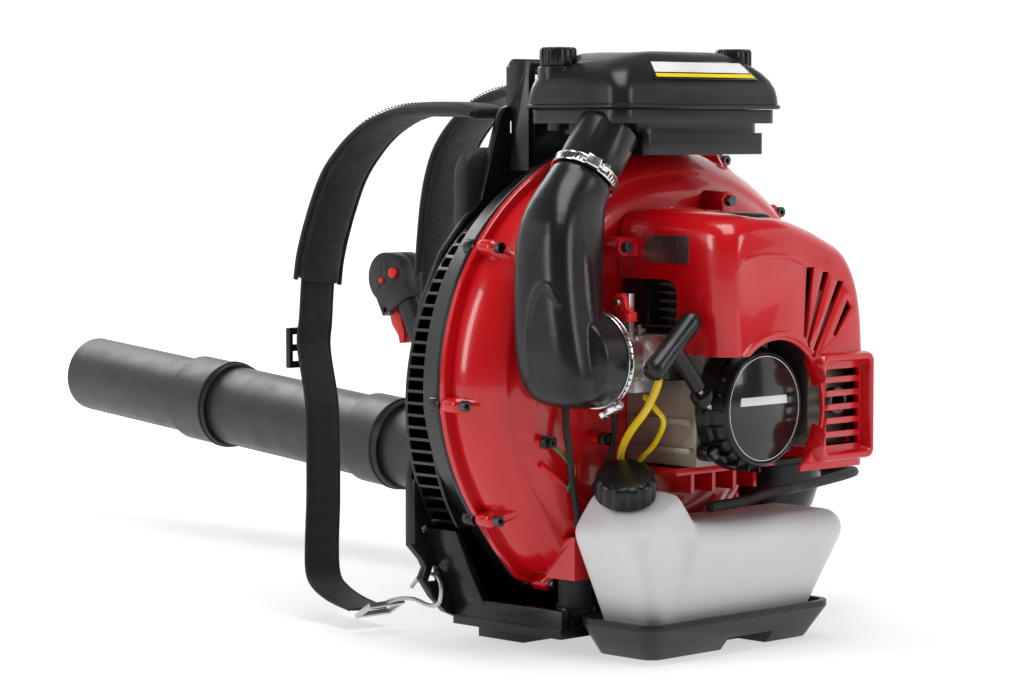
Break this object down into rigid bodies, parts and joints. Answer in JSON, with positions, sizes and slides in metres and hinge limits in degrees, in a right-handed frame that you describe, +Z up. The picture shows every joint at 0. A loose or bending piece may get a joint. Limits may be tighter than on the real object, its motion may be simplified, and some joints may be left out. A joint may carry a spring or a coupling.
{
  "type": "backpack_leaf_blower",
  "caption": "Backpack leaf blower: red fan case and engine cover, dark frame with padded shoulder straps, white fuel tank, air cleaner on top and a blower tube with a control grip.",
  "frame": {"origin": "On the floor, straight below the fan and crankshaft axis and in the plane of the fan case's flange.", "axes": "+Z up, +Y the way the blower tube points (the operator's forward), +X the operator's right, where the tube is"},
  "size_m": [0.4703, 1.1714, 0.499],
  "materials": {
    "red_shell": "high gloss moulded",
    "black_plastic": "satin moulded",
    "grey_plastic": "satin grained",
    "tank_plastic": "translucent blow-moulded",
    "engine_casting": "as cast",
    "plain_steel": "zinc plated",
    "bright_band": "polished band",
    "soft_rubber": "soft matt",
    "padded_fabric": "padded woven nylon",
    "woven_web": "woven polyester",
    "machined_alloy": "machined",
    "filter_foam": "pleated paper and foam",
    "cord_white": "braided",
    "cable_black": "smooth jacket",
    "muffler_steel": "heat darkened",
    "red_control": "satin moulded",
    "fuel_hose": "clear tinted hose"
  },
  "bodies": {
    "unit": {"tank_guard": "grey_plastic", "frame_base": "black_plastic", "frame_back": "black_plastic", "isolators": "soft_rubber", "inlet_guard": "black_plastic", "back_pad": "padded_fabric", "shoulder_pad_left": "padded_fabric", "shoulder_pad_right": "padded_fabric", "webbing_left": "woven_web", "webbing_right": "woven_web", "strap_buckles": "black_plastic", "snap_hooks": "plain_steel", "fan_case_rear": "red_shell", "fan_case_front": "black_plastic", "screws": "plain_steel", "bearings": "plain_steel", "crankcase": "engine_casting", "cylinder_block": "engine_casting", "piston": "machined_alloy", "connecting_rod": "plain_steel", "spark_plug": "plain_steel", "plug_lead": "soft_rubber", "muffler": "muffler_steel", "ignition_coil": "black_plastic", "insulator": "grey_plastic", "carburettor": "machined_alloy", "intake_duct": "grey_plastic", "hose_clamps": "bright_band", "air_base": "grey_plastic", "air_element": "filter_foam", "engine_cover": "red_shell", "cover_insert": "black_plastic", "starter_housing": "black_plastic", "fuel_tank": "tank_plastic", "fuel_lines": "fuel_hose", "wiring": "cable_black", "throttle_conduit": "cable_black", "outlet_elbow": "black_plastic"},
    "fan": {"impeller": "grey_plastic", "crankshaft": "plain_steel"},
    "reel": {"starter_reel": "grey_plastic"},
    "pull_handle": {"starter_handle": "black_plastic", "starter_rope": "cord_white"},
    "throttle_shaft": {"throttle_valve": "plain_steel"},
    "choke": {"choke_lever": "red_control"},
    "lid": {"air_lid": "grey_plastic"},
    "knob_a": {"lid_knob_left": "black_plastic"},
    "knob_b": {"lid_knob_right": "black_plastic"},
    "cap": {"fuel_cap": "black_plastic"},
    "bellows_mid": {"bellows": "soft_rubber", "grip_cable": "cable_black"},
    "tube": {"swivel_tube": "grey_plastic", "handle_bracket": "grey_plastic", "grip_left": "grey_plastic", "grip_right": "grey_plastic"},
    "mid": {"mid_tube": "grey_plastic"},
    "end": {"end_tube": "grey_plastic"},
    "trigger_arm": {"trigger": "red_control"},
    "cruise": {"cruise_lever": "red_control"},
    "button": {"stop_button": "red_control"}
  },
  "joints": [
    {"name": "fan_spin", "type": "hinge", "parent": "unit", "child": "fan", "pos_m": [0, 0, 0.203], "axis": [0, 1, 0], "continuous": true},
    {"name": "starter_pull", "type": "slide", "parent": "unit", "child": "pull_handle", "axis": [-0.655, 0, 0.7556], "range_m": [0, 0.35], "stiffness_N_per_m": 12, "deforming": ["starter_rope"]},
    {"name": "reel_turn", "type": "hinge", "parent": "unit", "child": "reel", "pos_m": [0, 0, 0.203], "axis": [0, 1, 0], "range_deg": [0, 570]},
    {"name": "trigger_squeeze", "type": "hinge", "parent": "tube", "child": "trigger_arm", "pos_m": [0.187, 0.48066, 0.25129], "axis": [-1, 0, 0], "range_deg": [0, 20], "stiffness_Nm_per_rad": 0.6, "springref_deg": -14.32},
    {"name": "throttle_open", "type": "hinge", "parent": "unit", "child": "throttle_shaft", "pos_m": [-0.078, -0.1, 0.246], "axis": [0, 0, -1], "range_deg": [0, 75]},
    {"name": "cruise_set", "type": "hinge", "parent": "tube", "child": "cruise", "pos_m": [0.187, 0.48549, 0.28063], "axis": [-1, 0, 0], "range_deg": [0, 45]},
    {"name": "stop_press", "type": "slide", "parent": "tube", "child": "button", "axis": [1, 0, 0], "range_m": [0, 0.0018], "stiffness_N_per_m": 900, "springref_m": -0.001},
    {"name": "choke_turn", "type": "hinge", "parent": "unit", "child": "choke", "pos_m": [-0.112, -0.112, 0.292], "axis": [-1, 0, 0], "range_deg": [0, 70]},
    {"name": "lid_lift", "type": "slide", "parent": "unit", "child": "lid", "axis": [0, 0, 1], "range_m": [0, 0.06]},
    {"name": "knob_left_turn", "type": "hinge", "parent": "lid", "child": "knob_a", "pos_m": [-0.08, -0.009, 0.49], "axis": [0, 0, 1], "range_deg": [0, 360]},
    {"name": "knob_right_turn", "type": "hinge", "parent": "lid", "child": "knob_b", "pos_m": [0.079, -0.062, 0.49], "axis": [0, 0, 1], "range_deg": [0, 360]},
    {"name": "fuel_cap_turn", "type": "hinge", "parent": "unit", "child": "cap", "pos_m": [-0.101, -0.107, 0.142], "axis": [-0.3428, -0.3428, 0.8746], "range_deg": [0, 270]},
    {"name": "tube_yaw", "type": "hinge", "parent": "unit", "child": "bellows_mid", "pos_m": [0.187, 0.165, 0.09], "axis": [0, 0, 1], "range_deg": [-25, 12], "deforming": ["bellows", "grip_cable"]},
    {"name": "tube_pitch", "type": "hinge", "parent": "bellows_mid", "child": "tube", "pos_m": [0.187, 0.165, 0.09], "axis": [1, 0, 0], "range_deg": [-7, 20]},
    {"name": "mid_tube_twist", "type": "hinge", "parent": "tube", "child": "mid", "pos_m": [0.187, 0.48881, 0.11776], "axis": [0, 0.9963, 0.0854], "range_deg": [0, 25]},
    {"name": "end_tube_twist", "type": "hinge", "parent": "mid", "child": "end", "pos_m": [0.187, 0.76281, 0.14125], "axis": [0, 0.9963, 0.0854], "range_deg": [0, 25]}
  ],
  "couplings": [
    {"joint": "reel_turn", "follows": "starter_pull", "rad_per_m": 27.778},
    {"joint": "throttle_open", "follows": "trigger_squeeze", "ratio": 3.4}
  ]
}
